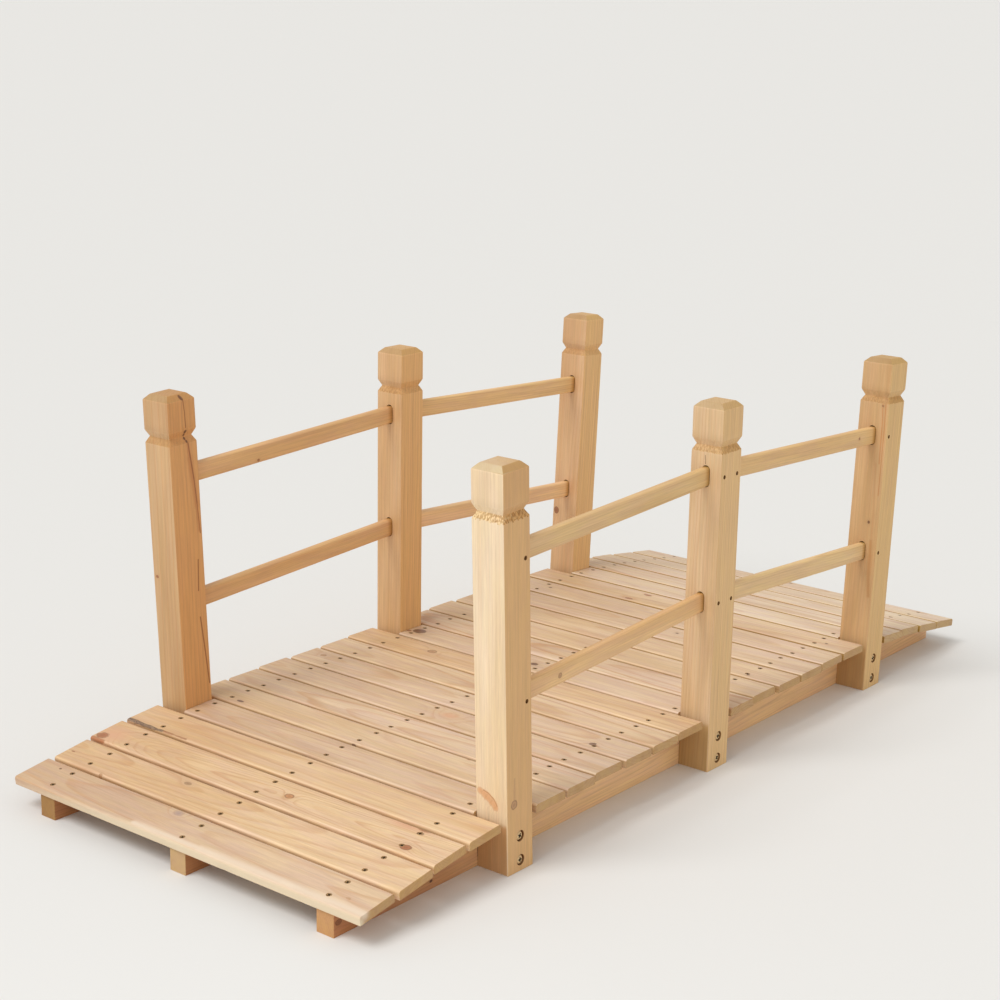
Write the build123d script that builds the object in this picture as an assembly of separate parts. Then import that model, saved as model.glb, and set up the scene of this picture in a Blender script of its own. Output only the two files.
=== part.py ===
from build123d import *
import math
import os

os.makedirs("parts", exist_ok=True)

# Every size is in millimetres. X runs along the bridge, Y across it and Z up, with the ground at Z 0.

# The deck's walking line: level in the middle, a gentle bend, then a straight ramp down to each end
deck_height = 79.0
level_half_length = 372.0
bend_radius = 1750.0
ramp_angle = 8.4

# Deck planks, laid side by side across the stringers
plank_count = 23
plank_width = 60.0
plank_gap = 5.0
plank_thickness = 12.0
plank_length = 630.0
plank_edge_radius = 3.5
plank_stagger = 2.0
plank_pitch = plank_width + plank_gap

# Posts, standing outside the outer stringers in the place of one plank each
post_width = 50.0
post_inner_face = 268.0
post_above_deck = 454.0
post_edge_radius = 1.5
post_top_chamfer = 8.0
groove_top_depth = 50.0
groove_middle_depth = 60.0
groove_bottom_depth = 69.0
groove_cut = 5.0
post_plank_numbers = {"near": 5, "middle": 12, "far": 19}
bay_posts = {"near": ("near", "middle"), "far": ("middle", "far")}
rail_directions = {"near": (1,), "middle": (1, -1), "far": (-1,)}

# Stringers, the three boards on edge that carry the deck
stringer_thickness = 28.0
stringer_setback = 3.0

# Rails, let into slots in the posts
rail_thickness = 12.0
rail_height = 27.0
rail_edge_radius = 3.5
rail_tenon = 18.0
rail_heights = {
    "upper": {"near": 333.0, "middle": 352.0, "far": 333.0},
    "lower": {"near": 147.0, "middle": 171.0, "far": 147.0},
}

# Room left between pieces that fit into or against each other
slot_side_clearance = 0.8
slot_end_clearance = 2.0
slot_depth_clearance = 1.5
plank_end_clearance = 0.5

# Round holes bored into the outer face of each post for its fixings
post_bore_diameter = 15.0
post_bore_depth = 4.0
lower_bore_level = 15.0
upper_bore_level = 48.0
rail_bore_diameter = 6.0
rail_bore_depth = 5.0
rail_bore_from_centre = 16.0


def deck_place(distance, lateral=0.0):
    """Location on the deck's walking line, a given distance along it from the middle."""
    side = math.copysign(1.0, distance)
    along = abs(distance)
    ramp_slope = math.radians(ramp_angle)
    bend = min(max(along - level_half_length, 0.0), bend_radius * ramp_slope)
    straight = max(along - level_half_length - bend, 0.0)
    slope = bend / bend_radius
    x = min(along, level_half_length) + bend_radius * math.sin(slope) + straight * math.cos(slope)
    drop = bend_radius * (1 - math.cos(slope)) + straight * math.sin(slope)
    return Location((side * x, lateral, deck_height - drop), (0, side * math.degrees(slope), 0))


def plank_place(number, lateral=0.0):
    """Location of the middle of a plank's top face, planks numbered from the near end."""
    return deck_place((number - (plank_count + 1) / 2) * plank_pitch, lateral)


def place_point(place, x=0.0, y=0.0, z=0.0):
    """World position of a point given in the coordinates of a location."""
    return (place * Pos(x, y, z)).position


def name_part(part, name):
    """Give the finished piece its node name and write its file."""
    part.label = name
    export_step(part, f"parts/{name}.step")
    return part


def make_plank(length):
    """Plank with its long top edges rounded, its top face at Z 0."""
    board = Box(plank_width, length, plank_thickness, align=(Align.CENTER, Align.CENTER, Align.MAX))
    return fillet(board.edges().filter_by(Axis.Y).group_by(Axis.Z)[-1], plank_edge_radius)


def seat_corner(number):
    """Where the underside of a plank meets the line of the next plank's underside."""
    first = plank_place(number) * Pos(0, 0, -plank_thickness)
    second = plank_place(number + 1) * Pos(0, 0, -plank_thickness)
    step = second.position - first.position
    turn = math.radians(second.orientation.Y - first.orientation.Y)
    if abs(turn) < 1e-6:
        reach = step.length / 2
    else:
        rise = step.dot(first.z_axis.direction)
        reach = step.dot(first.x_axis.direction) + rise / math.tan(turn)
    corner = place_point(first, x=reach)
    return corner.X, corner.Z


def make_stringer():
    """Board on edge, flat underneath, its top cut in short flats that seat the planks."""
    end_place = plank_place(1)
    front = place_point(end_place, x=-plank_width / 2 + stringer_setback, z=-plank_thickness)
    top = [seat_corner(number) for number in range(1, plank_count)]
    outline = [(front.X, 0), (front.X, front.Z), *top, (-front.X, front.Z), (-front.X, 0)]
    face = Plane.XZ * make_face(Polyline(*outline, close=True))
    return extrude(face, stringer_thickness / 2, both=True)


def post_place(position, side):
    """Location of a post's axis where it passes the level of the deck's top."""
    outward = 1 if side == "left" else -1
    return plank_place(post_plank_numbers[position], outward * (post_inner_face + post_width / 2))


def rail_line(level, bay, side):
    """Location of a rail's middle, with X along the rail, and the rail's length."""
    ends = []
    for position in bay_posts[bay]:
        ends.append(place_point(post_place(position, side), z=rail_heights[level][position]))
    span = ends[1] - ends[0]
    slope = math.degrees(math.atan2(span.Z, span.X))
    length = span.length - 2 * (post_width / 2 - rail_tenon)
    return Location((ends[0] + ends[1]) * 0.5, (0, -slope, 0)), length


def make_rail(level, bay, side):
    """Straight rail from one post to the next, its ends inside their slots."""
    place, length = rail_line(level, bay, side)
    rail = Box(length, rail_thickness, rail_height)
    return place * fillet(rail.edges().filter_by(Axis.X), rail_edge_radius)


def make_rail_slot(level, bay, side):
    """Round-ended slot that runs along a rail, a little past its ends and around its section."""
    place, length = rail_line(level, bay, side)
    slot_width = rail_thickness + 2 * slot_side_clearance
    slot_height = rail_height + 2 * slot_end_clearance
    outline = Plane.YZ * SlotOverall(slot_height, slot_width, rotation=90)
    return place * extrude(outline, length / 2 + slot_depth_clearance, both=True)


def make_groove_cutters():
    """Four wedges that cut the V-shaped neck groove around the head of a post."""
    half = post_width / 2
    outside = half + groove_cut
    depths = (groove_top_depth, groove_middle_depth, groove_bottom_depth)
    top, middle, bottom = (post_above_deck - depth for depth in depths)
    wedge = make_face(Polyline((half, top), (half - groove_cut, middle), (half, bottom),
                               (outside, bottom), (outside, top), close=True))
    cutter = extrude(Plane.XZ * wedge, post_width, both=True)
    return [Rot(0, 0, 90 * quarter) * cutter for quarter in range(4)]


def make_bore(diameter, depth):
    """Round hole along Y, sunk to its depth on both sides of Y 0."""
    return Cylinder(diameter / 2, 2 * depth, rotation=(90, 0, 0))


def make_post(position, side):
    """Post with its head, rail slots and bores, stood in its place and cut level at the ground."""
    place = post_place(position, side)
    outer_face = post_width / 2 if side == "left" else -post_width / 2
    below = deck_height + post_width
    shaft = Box(post_width, post_width, post_above_deck + below, align=(Align.CENTER, Align.CENTER, Align.MIN))
    shaft = chamfer(shaft.faces().sort_by(Axis.Z)[-1].edges(), post_top_chamfer)
    post = Pos(0, 0, -below) * fillet(shaft.edges().filter_by(Axis.Z), post_edge_radius)
    post -= make_groove_cutters()
    for level in (lower_bore_level, upper_bore_level):
        drop = (level - place.position.Z) / math.cos(math.radians(place.orientation.Y))
        post -= Pos(0, outer_face, drop) * make_bore(post_bore_diameter, post_bore_depth)
    for heights in rail_heights.values():
        for direction in rail_directions[position]:
            bore = make_bore(rail_bore_diameter, rail_bore_depth)
            post -= Pos(direction * rail_bore_from_centre, outer_face, heights[position]) * bore
    post = place * post
    for level in rail_heights:
        for bay, ends in bay_posts.items():
            if position in ends:
                post -= make_rail_slot(level, bay, side)
    ground = Box(2 * post_width + below, 2 * post_width, below, align=(Align.CENTER, Align.CENTER, Align.MAX))
    return post - Pos(place.position.X, place.position.Y, 0) * ground


pieces = []

short_length = 2 * (post_inner_face - plank_end_clearance)
for number in range(1, plank_count + 1):
    between_posts = number in post_plank_numbers.values()
    length = short_length if between_posts else plank_length
    # The full boards were not lined up exactly when they were laid, so each sits a little to one side
    shift = 0.0 if between_posts else plank_stagger * math.sin(number * number)
    pieces.append(name_part(plank_place(number, shift) * make_plank(length), f"plank_{number:02d}"))

stringer_offset = post_inner_face - stringer_thickness / 2
for name, lateral in (("left", stringer_offset), ("centre", 0), ("right", -stringer_offset)):
    pieces.append(name_part(Pos(0, lateral, 0) * make_stringer(), f"stringer_{name}"))

for side in ("left", "right"):
    for position in post_plank_numbers:
        pieces.append(name_part(make_post(position, side), f"post_{side}_{position}"))
    for level in rail_heights:
        for bay in bay_posts:
            pieces.append(name_part(make_rail(level, bay, side), f"rail_{side}_{level}_{bay}"))

bridge = Compound(label="footbridge", children=pieces)
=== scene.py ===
import math
import random
from collections import namedtuple
from functools import reduce
from types import SimpleNamespace

import bmesh
import bpy
import numpy as np
from mathutils import Matrix, Vector, noise


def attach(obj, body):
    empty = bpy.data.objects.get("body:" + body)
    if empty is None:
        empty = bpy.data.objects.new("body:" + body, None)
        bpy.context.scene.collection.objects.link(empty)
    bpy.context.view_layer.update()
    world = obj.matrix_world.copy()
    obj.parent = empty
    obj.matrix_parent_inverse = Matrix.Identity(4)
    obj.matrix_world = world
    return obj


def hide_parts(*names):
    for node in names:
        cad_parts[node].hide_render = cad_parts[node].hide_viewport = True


# A garden footbridge in planed fir. Lengths are in metres, or in millimetres times MM.

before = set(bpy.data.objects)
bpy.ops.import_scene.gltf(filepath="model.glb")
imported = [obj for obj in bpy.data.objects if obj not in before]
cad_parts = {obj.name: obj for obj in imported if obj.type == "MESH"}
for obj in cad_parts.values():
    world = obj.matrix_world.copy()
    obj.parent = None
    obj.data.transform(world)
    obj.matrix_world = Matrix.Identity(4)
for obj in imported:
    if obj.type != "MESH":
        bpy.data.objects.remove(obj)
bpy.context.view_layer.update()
scene = bpy.context.scene

MM = 0.001
ALONG, ACROSS, UP, TOWARDS_NEAR_END = (1, 0, 0), (0, 1, 0), (0, 0, 1), (-1, 0, 0)

# Boards
arris_radius = 0.6 * MM
plank_edge_radius = 3.5 * MM
post_edge_radius = 0.9 * MM
rail_edge_radius = 3.5 * MM
end_bevel = 0.4 * MM
station_step = 9 * MM
fillet_margin = 0.3 * MM
edge_nick = 0.45 * MM
hollow_margin = 1 * MM
face_ripple = 0.06 * MM
ripple_length, ripple_width = 60 * MM, 12 * MM
nick_length, nick_width = 14 * MM, 10 * MM
nick_rarity = 0.25
grain_relief = 0.22 * MM
smooth_angle = math.radians(32)
least_radius = 0.15 * MM
around_section = 9 * MM
rail_nick = 0.3 * MM
seed_step = 3.1

# Head and neck of a post, measured down from its top
head_chamfer = 8 * MM
groove_top = 50 * MM
groove_middle = 60 * MM
groove_bottom = 69 * MM
groove_cut = 5 * MM
groove_step = 1.1 * MM
torn_depth = 0.6 * MM
inner_tear = 0.025
torn_edge = 2.4 * MM
# How often the torn tufts repeat in a metre
tufts_along, tufts_across, edge_tufts_across = 140, 560, 420
post_above_deck = 454 * MM

# Slots and bores in the posts
slot_side_clearance = 0.8 * MM
slot_end_clearance = 2 * MM
slot_depth_clearance = 1.5 * MM
rail_end_to_post_axis = 7 * MM
post_bore_radius = 7.5 * MM
post_bore_depth = 4 * MM
post_bore_levels = (15 * MM, 48 * MM)
rail_bore_radius = 3 * MM
rail_bore_depth = 5 * MM
rail_bore_from_centre = 16 * MM
# How dark the painted shade is in the slots and bores, and on the bores' floors
hole_shade = 0.85
bore_floor_shade = 0.3
cut_overlap = 3 * MM

# Screws
deck_screw_rows = (-253 * MM, 1 * MM, 253 * MM)
deck_screw_from_middle = 16.5 * MM
deck_screw_stray = 1.3 * MM
ramp_screw_shift = Vector((4.5, -2.2, 0)) * MM
deck_screw_radius = 3.4 * MM
deck_screw_hole_radius = 3.7 * MM
deck_screw_hole_depth = 2.2 * MM
deck_screw_sunk = 0.4 * MM
deck_screw_cross, deck_screw_cross_depth = 4.4 * MM, 1.2 * MM
# How dark the painted shade is in the deck screws' holes
screw_hole_shade = 0.5
post_screw_radius = 6.1 * MM
post_screw_height = 3.2 * MM
post_screw_cross, post_screw_cross_depth = 6.4 * MM, 2.2 * MM
rail_screw_radius = 2.5 * MM
rail_screw_sunk = 3 * MM
rail_screw_cross, rail_screw_cross_depth = 3.4 * MM, 1 * MM
cross_share = 0.36


class Board:
    """Board of the frame in its own axes: X along the grain, Z out of the named face, zero in the middle."""

    def __init__(self, node, grain, face):
        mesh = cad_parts[node].data
        facing = [p for p in mesh.polygons if p.normal.dot(Vector(face)) > 0.95]
        z = max(facing, key=lambda p: p.area).normal.copy()
        x = (Vector(grain) - z * z.dot(Vector(grain))).normalized()
        turn = Matrix((x, z.cross(x), z)).transposed()
        points = np.array([v.co for v in mesh.vertices]) @ np.array(turn)
        low, high = points.min(0), points.max(0)
        self.node = node
        self.size = Vector(high - low)
        self.place = Matrix.Translation(turn @ Vector((low + high) / 2)) @ turn.to_4x4()
        self.points = points - (low + high) / 2
        self.dice = random.Random(node)

    def local(self, point):
        """A point of the bridge in the board's own axes."""
        return self.place.inverted() @ Vector(point)


names = sorted(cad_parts)
planks = [Board(n, ACROSS, UP) for n in names if n.startswith("plank")]
posts = [Board(n, UP, TOWARDS_NEAR_END) for n in names if n.startswith("post")]
rails = [Board(n, ALONG, UP) for n in names if n.startswith("rail")]
stringers = [Board(n, ALONG, ACROSS) for n in names if n.startswith("stringer")]


def new_object(name, data):
    """Object of the scene that shows a mesh, a lamp or a camera."""
    thing = bpy.data.objects.new(name, data)
    scene.collection.objects.link(thing)
    return thing


# Shapes

def steps(start, end, step):
    """Evenly spaced values from start up to, and without, end."""
    count = max(1, round(abs(end - start) / step))
    return [start + (end - start) * i / count for i in range(count)]


def section(width, height, radii, sides, corner_steps):
    """Rounded rectangle as (point, way out, on a corner), its corners in turn from +Y +Z."""
    arcs = []
    for turn, (side, radius) in enumerate(zip(((1, 1), (-1, 1), (-1, -1), (1, -1)), radii)):
        centre = Vector((0, side[0] * (width / 2 - radius), side[1] * (height / 2 - radius)))
        angles = [math.pi / 2 * (turn + i / corner_steps) for i in range(corner_steps + 1)]
        ways = [Vector((0, math.cos(a), math.sin(a))) for a in angles]
        arcs.append([(centre + way * radius, way, True) for way in ways])
    points = []
    for arc, following, count in zip(arcs, arcs[1:] + arcs[:1], sides):
        points += arc
        start, end, way = arc[-1][0], following[0][0], arc[-1][1]
        margin = fillet_margin / max((end - start).length, 3 * fillet_margin)
        shares = [margin + (1 - 2 * margin) * i / max(count - 1, 1) for i in range(count)]
        points += [(start.lerp(end, share), way, False) for share in shares]
    return points


def bar(stations, width, height, radii, side_step=None, corner_steps=3, shape=None):
    """Closed bar along X with a ring of its section, less the inset, at each (x, inset) station."""
    spans = [width, height, width, height]
    sides = [max(2, round(span / side_step)) if side_step else 0 for span in spans]
    made = bmesh.new()
    rings = []
    for x, inset in stations:
        left = [max(radius - inset, least_radius) for radius in radii]
        ring = section(width - 2 * inset, height - 2 * inset, left, sides, corner_steps)
        placed = [(point + Vector((x, 0, 0)), way, corner) for point, way, corner in ring]
        rings.append([made.verts.new(shape(*point) if shape else point[0]) for point in placed])
    for a, b in zip(rings, rings[1:]):
        for i in range(len(a)):
            made.faces.new((a[i - 1], a[i], b[i], b[i - 1]))
    made.faces.new(rings[0])
    made.faces.new(rings[-1])
    bmesh.ops.recalc_face_normals(made, faces=made.faces)
    mesh = bpy.data.meshes.new("bar")
    made.to_mesh(mesh)
    made.free()
    return mesh


def round_bar(stations, radius, corner_steps=5):
    """Round bar along X, its radius less the inset at each (x, inset) station."""
    return bar(stations, 2 * radius, 2 * radius, [0.999 * radius] * 4, corner_steps=corner_steps)


def joined(copies):
    """One mesh of several, each given with its place."""
    made = bmesh.new()
    for mesh, place in copies:
        first = len(made.verts)
        made.from_mesh(mesh)
        made.verts.ensure_lookup_table()
        bmesh.ops.transform(made, matrix=place, verts=made.verts[first:])
    mesh = bpy.data.meshes.new("joined")
    made.to_mesh(mesh)
    made.free()
    return mesh


def carved(mesh, cutters):
    """The mesh less the cutters, each given with its place."""
    body, tool = new_object("body", mesh), new_object("cutter", joined(cutters))
    cut = body.modifiers.new("cut", "BOOLEAN")
    cut.operation, cut.solver, cut.object = "DIFFERENCE", "EXACT", tool
    result = bpy.data.meshes.new_from_object(body.evaluated_get(bpy.context.evaluated_depsgraph_get()))
    for thing in (body, tool):
        bpy.data.objects.remove(thing)
    return result


def worn(seed, nick=edge_nick):
    """Shape that dents the long edges here and there and ripples the faces along the grain."""
    def shape(point, way, corner):
        x, y, z = point
        ripple = noise.noise(Vector((x / ripple_length + seed, y / ripple_width, z / ripple_width)))
        out = face_ripple * ripple
        if corner:
            dent = noise.noise(Vector((x / nick_length + seed, y / nick_width, z / nick_width)))
            out -= nick * max(dent - nick_rarity, 0)
        return point + way * out
    return shape


def end_to_end(length, step=station_step):
    """Stations of a board, with a small bevel at both ends."""
    half = length / 2
    inner = half - end_bevel
    return [(-half, end_bevel), *((x, 0) for x in steps(-inner, inner, step)), (inner, 0), (half, end_bevel)]


# Wood. Each board is cut from a log of its own, so that the pattern agrees on faces, edges and ends.

# How far apart, in metres, the boards' stretches of the pattern lie
log_step, stringer_logs, post_logs, rail_logs = 3.7, 200, 400, 600

# How often each pattern of the wood, and last that of the screws, repeats in a metre, along it and across
SLOW_BENDS = (2.2, 13.0)
QUICK_BENDS = (11.0, 60.0)
FIBRES = (14.0, 620.0)
HAIRS = (60.0, 2400.0)
GRAIN = (7.0, 260.0)
TONE_PATCHES = (3.4, 26.0)
RESIN_BANDS = (2.0, 190.0)
BLUSHES = (15.0, 80.0)
TORN_TUFTS = (130.0, 480.0)
KNOT_OUTLINES = (90.0, 240.0)
KNOT_SPECKS = (200.0, 900.0)
METAL_MOTTLE = (900.0, 900.0)

# How far the bends push the rings aside, and over how much the heartwood fades in on a face
slow_bend, quick_bend = 16 * MM, 2.2 * MM
heartwood_fade = 0.8 * MM

# What a colour is multiplied by where the wood is pinker, and where its fibres are torn
PINK_BLUSH = (0.94, 0.90, 1.06, 1.0)
TORN_DARK = (0.62, 0.49, 0.33, 1.0)
TORN_PALE = (1.0, 0.94, 0.79, 1.0)

# The dark rings in a knot and the bark round it, as a shader takes them
KNOT_RINGS = (0.10, 0.04, 0.015, 1.0)
KNOT_BARK = (0.09, 0.035, 0.012, 1.0)

# What full painted shade multiplies a colour by: between boards, in holes, under the ramps and on the near
# posts
WARM_SHADE = (0.52, 0.38, 0.08, 1.0)
DEEP_SHADE = (0.34, 0.25, 0.18, 1.0)
RUSTY_SHADE = (0.38, 0.14, 0.03, 1.0)
REDDISH_SHADE = (0.50, 0.24, 0.02, 1.0)


class Graph:
    """Short calls that add a node to a tree. Most of them return one of its outputs."""

    def __init__(self, tree):
        self.tree = tree

    def add(self, kind, values, output=0, **settings):
        node = self.tree.nodes.new("ShaderNode" + kind)
        for name, value in settings.items():
            setattr(node, name, value)
        self.fill(node, values)
        return node.outputs[output]

    def fill(self, node, values):
        for key, value in values.items():
            if isinstance(value, bpy.types.NodeSocket):
                self.tree.links.new(value, node.inputs[key])
            else:
                node.inputs[key].default_value = value

    def use(self, tree, **values):
        node = self.tree.nodes.new("ShaderNodeGroup")
        node.node_tree = tree
        self.fill(node, values)
        return node.outputs

    def math(self, operation, *values):
        return self.add("Math", dict(enumerate(values)), operation=operation)

    def times(self, *values):
        return reduce(lambda a, b: self.math("MULTIPLY", a, b), values)

    def plus(self, *values):
        return reduce(lambda a, b: self.math("ADD", a, b), values)

    def minus(self, first, second):
        return self.math("SUBTRACT", first, second)

    def line(self, value, slope, start):
        return self.math("MULTIPLY_ADD", value, slope, start)

    def least(self, first, second):
        return self.math("MINIMUM", first, second)

    def most(self, first, second):
        return self.math("MAXIMUM", first, second)

    def axis(self, place, axis):
        return self.add("SeparateXYZ", {0: place}, axis)

    def attribute(self, name, output=2):
        return self.add("Attribute", {}, output, attribute_name=name)

    def vector(self, operation, *values, output=0):
        return self.add("VectorMath", dict(enumerate(values)), output, operation=operation)

    def scaled(self, vector, factor):
        return self.add("VectorMath", {0: vector, "Scale": factor}, operation="SCALE")

    def noise(self, place, repeats, detail=2.0, roughness=0.5, output=0):
        spread = self.vector("MULTIPLY", place, (*repeats, repeats[1]))
        values = {"Vector": spread, "Scale": 1.0, "Detail": detail, "Roughness": roughness}
        return self.add("TexNoise", values, output)

    def wander(self, place, repeats, roughness=0.5):
        return self.vector("SUBTRACT", self.noise(place, repeats, 2.0, roughness, 1), (0.5, 0.5, 0.5))

    def ramp(self, value, start, end, low=0.0, high=1.0):
        values = {0: value, 1: start, 2: end, 3: low, 4: high}
        return self.add("MapRange", values, interpolation_type="SMOOTHSTEP")

    def mix(self, factor, first, second, blend="MIX"):
        values = {0: factor, 6: first, 7: second}
        return self.add("Mix", values, 2, data_type="RGBA", blend_type=blend)

    def tinted(self, colour, tint):
        return self.mix(1.0, colour, tint, "MULTIPLY")

    def surface(self, values):
        """Shader of the material that this tree belongs to."""
        shader = self.add("BsdfPrincipled", values)
        self.fill(self.tree.nodes.new("ShaderNodeOutputMaterial"), {0: shader})


def new_material(name):
    """Empty material and its graph."""
    material = bpy.data.materials.new(name)
    material.use_nodes = True
    material.node_tree.nodes.clear()
    return material, Graph(material.node_tree)


def new_group(name, inputs, outputs):
    """Group of nodes with the sockets named by kind, as its tree, graph, inputs and last node."""
    tree = bpy.data.node_groups.new(name, "ShaderNodeTree")
    for direction, sockets in (("INPUT", inputs), ("OUTPUT", outputs)):
        for kind, labels in sockets.items():
            for label in labels.split():
                tree.interface.new_socket(label, in_out=direction, socket_type="NodeSocket" + kind)
    given = SimpleNamespace(**dict(tree.nodes.new("NodeGroupInput").outputs.items()))
    return tree, Graph(tree), given, tree.nodes.new("NodeGroupOutput")


def make_knot_group():
    """Round rod of a branch through the wood. It pushes the rings aside and paints its own colour."""
    tree, g, given, leave = new_group("knot", {
        "Vector": "place centre axis", "Float": "radius stretch reach push mottle blur bulge core rim",
        "Color": "colour paint"}, {"Float": "bulge core rim", "Color": "paint"})
    place, axis, radius = given.place, given.axis, given.radius
    push, mottle, blur = given.push, given.mottle, given.blur

    # Distance from the branch in its own radii, with an unsteady outline
    offset = g.vector("SUBTRACT", place, given.centre)
    unsteady = g.times(radius, g.line(mottle, 2.5, 0.45))
    offset = g.vector("ADD", offset, g.scaled(g.wander(place, KNOT_OUTLINES, 0.6), unsteady))
    along = g.vector("DOT_PRODUCT", offset, axis, output=1)
    along = g.most(g.least(along, given.reach), g.times(given.reach, -1.0))
    beside = g.vector("SUBTRACT", offset, g.scaled(axis, along))
    squeeze = g.add("CombineXYZ", {0: g.math("DIVIDE", 1.0, given.stretch), 1: 1.0, 2: 1.0})
    distance = g.vector("LENGTH", g.vector("MULTIPLY", beside, squeeze), output=1)
    distance = g.math("DIVIDE", distance, radius)

    # Its own wood, speckled and ringed, the bark round it and how far the rings of the board give way
    fall = g.math("EXPONENT", g.times(distance, distance, -0.22))
    firm = g.least(push, 1.0)
    crisp = g.times(firm, g.minus(1.0, blur))
    specks = g.times(mottle, g.ramp(g.noise(place, KNOT_SPECKS, 3.0, 0.6), 0.42, 0.56))
    core = g.ramp(distance, g.line(blur, -0.65, 0.65), g.line(blur, 0.7, 1.1), 1.0, 0.0)
    core = g.most(g.times(core, g.minus(1.0, specks)), g.times(fall, firm, 0.2))
    rim = g.ramp(g.math("ABSOLUTE", g.minus(distance, 0.9)), 0.0, 0.22, 1.0, 0.0)
    rings = g.line(g.math("SINE", g.times(distance, 9.0)), 0.14, 0.14)
    inside = g.mix(g.times(rings, crisp), given.colour, KNOT_RINGS)
    over = g.line(given.core, -0.6, core)
    g.fill(leave, {
        "bulge": g.plus(given.bulge, g.times(fall, push, radius)),
        "core": g.most(given.core, core),
        "rim": g.most(given.rim, g.times(rim, crisp)),
        "paint": g.mix(g.ramp(over, 0.0, 0.3), given.paint, inside)})
    return tree


def make_wood_group():
    """Fir: growth rings round the pith, fibres, slow changes of tone, knots, end grain and torn fibres."""
    tree, g, given, leave = new_group("fir", {
        "Vector": "place pith taper",
        "Float": "spacing contrast lean heart end torn shade hollow bulge core rim",
        "Color": "pale warm late heartwood end_tint shade_tint paint"},
        {"Color": "colour", "Float": "roughness height"})
    contrast, end, torn = given.contrast, given.end, given.torn
    x = g.axis(given.place, 0)
    place = g.vector("ADD", given.place, given.pith)
    place = g.vector("ADD", place, g.scaled(given.taper, x))

    # Growth rings, each with a band of late wood whose strength differs from year to year
    slow = g.scaled(g.wander(place, SLOW_BENDS), slow_bend)
    quick = g.scaled(g.wander(place, QUICK_BENDS), quick_bend)
    bent = g.vector("ADD", place, g.vector("ADD", slow, quick))
    radius = g.vector("LENGTH", g.vector("MULTIPLY", bent, (0.0, 1.0, 1.0)), output=1)
    phase = g.math("DIVIDE", g.plus(radius, given.bulge), given.spacing)
    year = g.math("FRACT", phase)
    strength = g.add("TexWhiteNoise", {"W": g.math("FLOOR", phase)}, noise_dimensions="1D")
    late = g.times(g.ramp(year, 0.50, 0.90), g.ramp(year, 0.90, 0.99, 1.0, 0.0))
    late = g.times(late, g.line(strength, 0.75, 0.25))

    # Two tones, heartwood on one side of the diagonal, late wood, resin bands and a pink blush
    tone = g.line(x, given.lean, g.noise(place, TONE_PATCHES, 2.0, 0.55))
    colour = g.mix(g.ramp(tone, 0.3, 0.7), given.pale, given.warm)
    split = g.vector("DOT_PRODUCT", given.place, (0.0, 1.0, 1.0), output=1)
    fade = g.line(g.times(end, g.minus(1.0, end)), 0.4, heartwood_fade)
    colour = g.mix(g.ramp(split, g.times(fade, -1.0), fade, given.heart, 0.0), colour, given.heartwood)
    rings = g.times(late, g.times(contrast, g.line(end, -0.3, 1.0)))
    colour = g.mix(rings, colour, given.late)
    bands = g.times(g.ramp(g.noise(place, RESIN_BANDS), 0.48, 0.75), g.times(contrast, 0.45))
    colour = g.mix(bands, colour, given.late)
    blush = g.ramp(g.noise(place, BLUSHES, 2.0, 0.55), 0.4, 0.62)
    blush = g.times(blush, g.line(given.heart, -0.3, 0.55))
    colour = g.mix(blush, colour, g.tinted(colour, PINK_BLUSH))

    # Lines of the fibres, fainter on end grain
    fibre, hair = g.noise(place, FIBRES, 3.0, 0.6), g.noise(place, HAIRS, 2.0, 0.6)
    shade = 1.0
    for lines, depth in ((fibre, 0.30), (g.noise(place, GRAIN, 2.0, 0.6), 0.28), (hair, 0.22)):
        shade = g.times(shade, g.line(g.minus(lines, 0.5), depth, 1.0))
    smooth = g.line(end, -0.7, 1.0)
    colour = g.scaled(colour, g.line(g.minus(shade, 1.0), smooth, 1.0))

    # End grain, torn fibres, knots and their bark, painted shade, and painted shade in holes
    colour = g.mix(end, colour, g.tinted(colour, given.end_tint))
    tufts = g.noise(given.place, TORN_TUFTS, 0.0)
    strokes = g.line(g.minus(g.ramp(tufts, 0.3, 0.66), 0.5), torn, 0.5)
    strokes = g.mix(strokes, TORN_DARK, TORN_PALE)
    colour = g.mix(g.least(g.times(torn, 20.0), 1.0), colour, g.tinted(colour, strokes))
    colour = g.mix(g.times(given.core, 0.9), colour, given.paint)
    colour = g.mix(g.times(given.rim, 0.75), colour, g.mix(0.5, given.paint, KNOT_BARK))
    white = (1.0, 1.0, 1.0)
    tint = g.scaled(g.vector("SUBTRACT", given.shade_tint, white), given.shade)
    colour = g.vector("MULTIPLY", colour, g.vector("ADD", tint, white))
    colour = g.mix(given.hollow, colour, g.tinted(colour, DEEP_SHADE))

    height = g.line(late, 0.35, g.line(fibre, 0.55, g.times(hair, 0.35)))
    height = g.line(g.times(tufts, torn), 1.5, g.times(height, smooth))
    height = g.line(given.rim, -0.8, height)
    roughness = g.line(given.core, -0.1, g.line(fibre, 0.22, 0.42))
    roughness = g.line(g.most(end, torn), 0.2, roughness)
    g.fill(leave, {"colour": colour, "roughness": roughness, "height": height})
    return tree


knot_group = make_knot_group()
wood_group = make_wood_group()

# A knot's centre is in its board's own axes, its axis is the branch's line and its reach the half length of
# that. Stretch draws it out along the grain, push is how far, in its own radii, the rings go round it, mottle
# breaks it up and blur softens its outline.
Knot = namedtuple("Knot", "centre axis radius stretch reach push mottle colour blur")

# Contrast and spacing are those of the rings. Lean is how much warmer the board grows per metre along its X.
Finish = namedtuple("Finish", "pale warm late contrast spacing lean end_tint")

# What full shade multiplies the colour by, and its amount as a function of a graph and the place on the board
Shade = namedtuple("Shade", "tint amount")

# Where the pith lies from the board's middle, how far it runs out of line per metre, whether the half of the
# board at -Y -Z of its diagonal is heartwood, as 1 or 0, and the heartwood's colour
Log = namedtuple("Log", "pith taper heart heartwood")


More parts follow.
